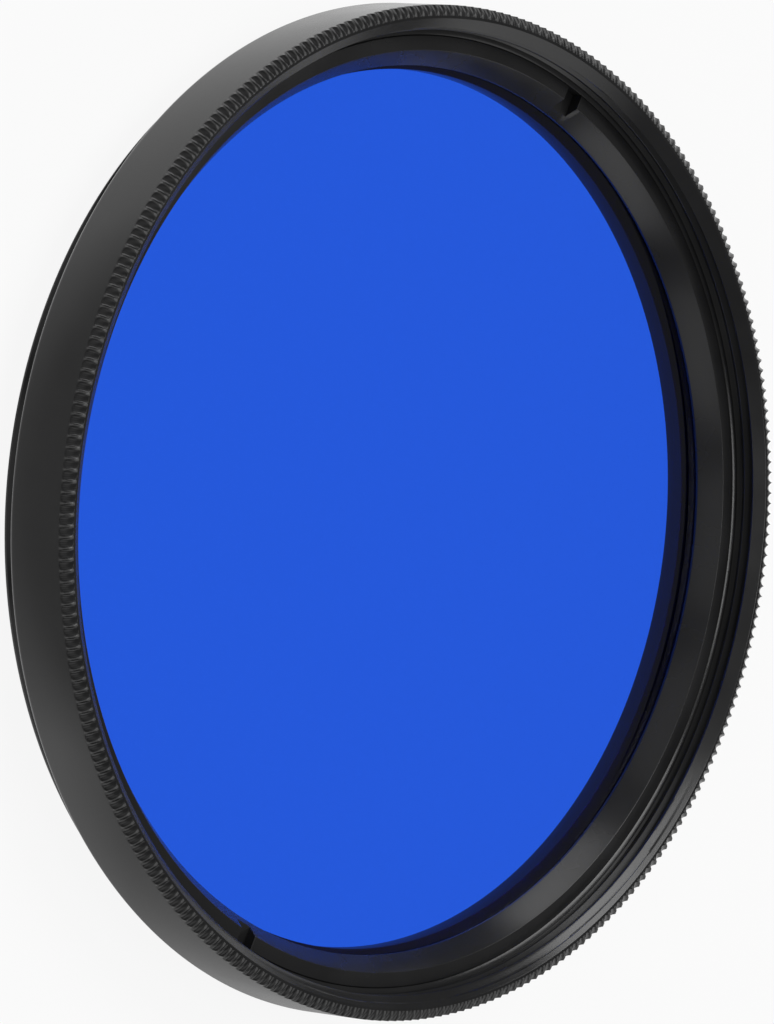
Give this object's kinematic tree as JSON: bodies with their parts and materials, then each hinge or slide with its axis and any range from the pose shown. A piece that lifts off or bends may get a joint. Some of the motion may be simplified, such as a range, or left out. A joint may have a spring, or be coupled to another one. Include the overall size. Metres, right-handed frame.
{
  "type": "lens filter",
  "caption": "Round screw-in colour filter: flat blue glass in a black turned ring with a fine knurled front edge, held down by a slotted retaining ring.",
  "frame": {"origin": "centre of the rear end face, on the optical axis, where the part rests", "axes": "+Z along the optical axis, from the rear male thread to the knurled front rim; +X and +Y in the plane of the glass, the spanner slots at 67.5 degrees from +X"},
  "size_m": [0.057, 0.057, 0.0061],
  "materials": {
    "ring_black": "black anodised, fine satin, turned",
    "retainer_black": "black anodised, matt",
    "blue_glass": "polished, deep blue throughout"
  },
  "bodies": {
    "root": {"filter_ring": "ring_black", "retaining_ring": "retainer_black", "filter_glass": "blue_glass"}
  },
  "joints": []
}
